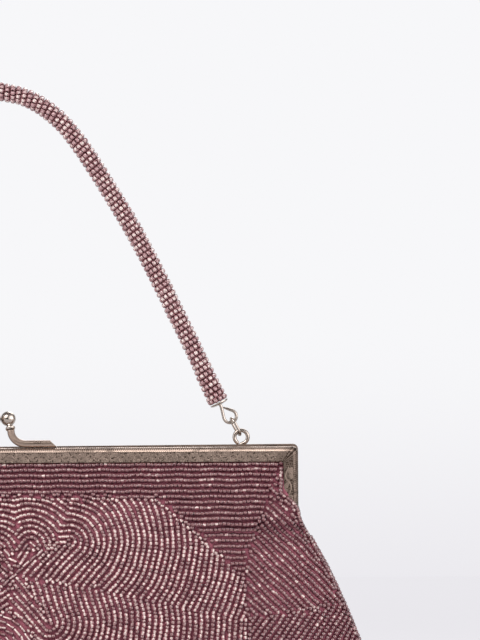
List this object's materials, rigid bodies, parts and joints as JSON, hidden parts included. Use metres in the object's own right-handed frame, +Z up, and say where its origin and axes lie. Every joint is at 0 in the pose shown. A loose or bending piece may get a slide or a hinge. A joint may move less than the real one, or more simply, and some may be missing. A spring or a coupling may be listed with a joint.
{
  "type": "beaded evening bag",
  "caption": "Frame evening bag with a bead-covered pouch, a riveted metal frame that opens, a kiss clasp and a beaded rope handle on chain links.",
  "frame": {"origin": "middle of the flat base that the bag stands on", "axes": "+Z up, -Y towards the front of the bag, +X to the right as seen from the front; clasp closed and handle held upright"},
  "size_m": [0.2604, 0.0452, 0.2661],
  "materials": {
    "antique_nickel": "antiqued nickel plate, stippled face and reeded rib",
    "polished_nickel": "polished nickel plate, softly worn",
    "glass_beads": "rows of transparent burgundy glass seed beads on cloth",
    "lining_satin": "rayon satin",
    "paper_cord": "twisted kraft paper",
    "cotton_cord": "undyed cotton cord"
  },
  "bodies": {
    "back_half_and_pouch": {"frame_back": "antique_nickel", "hinge_rivet_right": "polished_nickel", "hinge_rivet_left": "polished_nickel", "clasp_arm_back": "polished_nickel", "clasp_knob_back": "polished_nickel", "eyelet_right": "polished_nickel", "eyelet_left": "polished_nickel", "back_panel": "glass_beads", "front_panel_lower": "glass_beads", "back_lining": "lining_satin", "front_lining_lower": "lining_satin", "slip_pocket": "lining_satin", "channel_cord_back": "paper_cord"},
    "front_half": {"frame_front": "antique_nickel", "clasp_arm_front": "polished_nickel", "clasp_knob_front": "polished_nickel", "front_panel_upper": "glass_beads", "front_lining_upper": "lining_satin", "channel_cord_front": "paper_cord"},
    "link_right": {"link_right": "polished_nickel"},
    "link_left": {"link_left": "polished_nickel"},
    "handle": {"handle_sleeve": "glass_beads", "handle_core": "cotton_cord", "end_cap_right": "polished_nickel", "end_cap_left": "polished_nickel", "end_loop_right": "polished_nickel", "end_loop_left": "polished_nickel"}
  },
  "joints": [
    {"name": "frame_open", "type": "hinge", "parent": "back_half_and_pouch", "child": "front_half", "pos_m": [0, 0, 0.116], "axis": [1, 0, 0], "range_deg": [0, 62], "deforming": ["front_panel_upper", "front_lining_upper"]},
    {"name": "right_link_swing", "type": "hinge", "parent": "back_half_and_pouch", "child": "link_right", "pos_m": [0.08182, 0.002, 0.14523], "axis": [-1, 0, 0], "range_deg": [-70, 70]},
    {"name": "left_link_swing", "type": "hinge", "parent": "back_half_and_pouch", "child": "link_left", "pos_m": [-0.08182, 0.002, 0.14523], "axis": [-1, 0, 0], "range_deg": [-90, 90]},
    {"name": "handle_swing", "type": "hinge", "parent": "link_right", "child": "handle", "pos_m": [0.08013, 0.002, 0.14841], "axis": [-1, 0, 0], "range_deg": [-50, 50]}
  ],
  "couplings": [
    {"joint": "left_link_swing", "follows": "right_link_swing", "ratio": 1}
  ]
}
